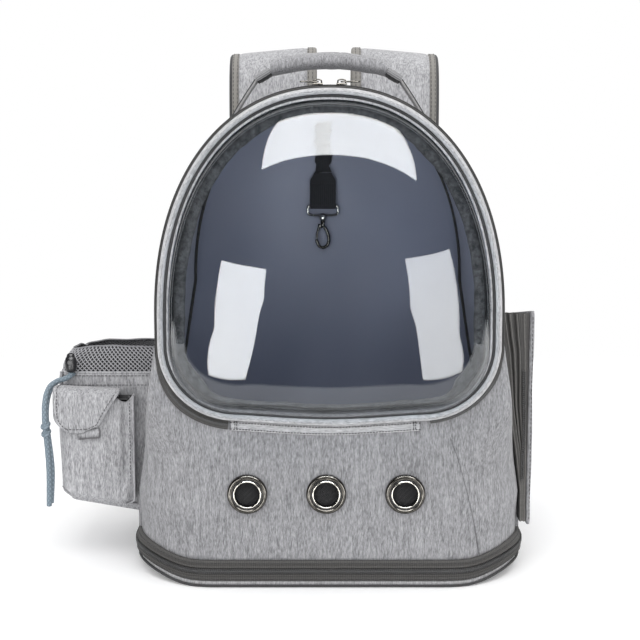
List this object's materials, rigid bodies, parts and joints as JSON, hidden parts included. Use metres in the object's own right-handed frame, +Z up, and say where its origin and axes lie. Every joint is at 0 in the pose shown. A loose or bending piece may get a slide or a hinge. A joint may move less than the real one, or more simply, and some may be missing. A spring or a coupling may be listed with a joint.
{
  "type": "bubble pet carrier backpack",
  "caption": "Soft arched pet carrier backpack with a clear domed door, round vents, side pockets, a zipped base band, a top handle, shoulder straps and a leash inside.",
  "frame": {"origin": "centre of the flat underside of the base", "axes": "+Z up, -Y out of the domed door, +X to the viewer's right when looking at the door"},
  "size_m": [0.4412, 0.4211, 0.4794],
  "materials": {
    "heather": "grey melange polyester canvas",
    "binding": "dark grey zip tape and binding",
    "lining": "smooth slate lining",
    "webbing": "black webbing and net",
    "cord": "blue-grey braided cord",
    "black_plastic": "moulded black",
    "gunmetal": "dark polished plating",
    "clear": "clear moulded polycarbonate"
  },
  "bodies": {
    "carrier": {"front_shell": "heather", "gusset": "heather", "lining": "lining", "back_panel": "heather", "base_tray": "heather", "expansion_tape": "binding", "expansion_chain": "binding", "base_piping": "binding", "vent_ring_left": "gunmetal", "vent_ring_middle": "gunmetal", "vent_ring_right": "gunmetal", "vent_mesh_left": "webbing", "vent_mesh_middle": "webbing", "vent_mesh_right": "webbing", "door_rim": "heather", "door_piping": "heather", "door_zip_tape": "binding", "bubble": "clear", "inner_binding": "lining", "hinge_flap": "heather", "zip_slider_left": "gunmetal", "zip_slider_right": "gunmetal", "handle_grip": "heather", "handle_cuff_left": "binding", "handle_cuff_right": "binding", "handle_strap_left": "heather", "handle_strap_right": "heather", "shoulder_strap_left": "heather", "shoulder_strap_right": "heather", "strap_adjuster_left": "black_plastic", "strap_adjuster_right": "black_plastic", "strap_webbing_left": "webbing", "strap_webbing_right": "webbing", "strap_anchor_left": "heather", "strap_anchor_right": "heather", "bottle_pocket": "heather", "pocket_mesh": "webbing", "flap_pocket": "heather", "pocket_flap": "heather", "cord_lock": "black_plastic", "drawcord": "cord", "side_folds": "binding", "side_panel": "heather", "side_chain": "gunmetal", "leash_webbing": "webbing", "leash_tab": "webbing", "swivel_eye": "gunmetal"},
    "snap_hook": {"snap_hook": "gunmetal"},
    "snap_gate": {"snap_gate": "gunmetal"},
    "zip_pull_left": {"zip_pull_left": "gunmetal"},
    "zip_pull_right": {"zip_pull_right": "gunmetal"}
  },
  "joints": [
    {"name": "snap_swivel", "type": "hinge", "parent": "carrier", "child": "snap_hook", "pos_m": [-0.005, 0.1115, 0.2985], "axis": [0, 0, 1], "continuous": true},
    {"name": "snap_gate", "type": "hinge", "parent": "snap_hook", "child": "snap_gate", "pos_m": [-0.009, 0.1115, 0.29152], "axis": [0, -1, 0], "range_deg": [0, 20], "stiffness_Nm_per_rad": 0.002, "springref_deg": -11.46},
    {"name": "zip_pull_left", "type": "hinge", "parent": "carrier", "child": "zip_pull_left", "pos_m": [-0.0094, -0.13926, 0.4341], "axis": [0, 1, 0], "range_deg": [0, 120]},
    {"name": "zip_pull_right", "type": "hinge", "parent": "carrier", "child": "zip_pull_right", "pos_m": [0.0094, -0.13926, 0.4341], "axis": [0, -1, 0], "range_deg": [0, 120]}
  ]
}
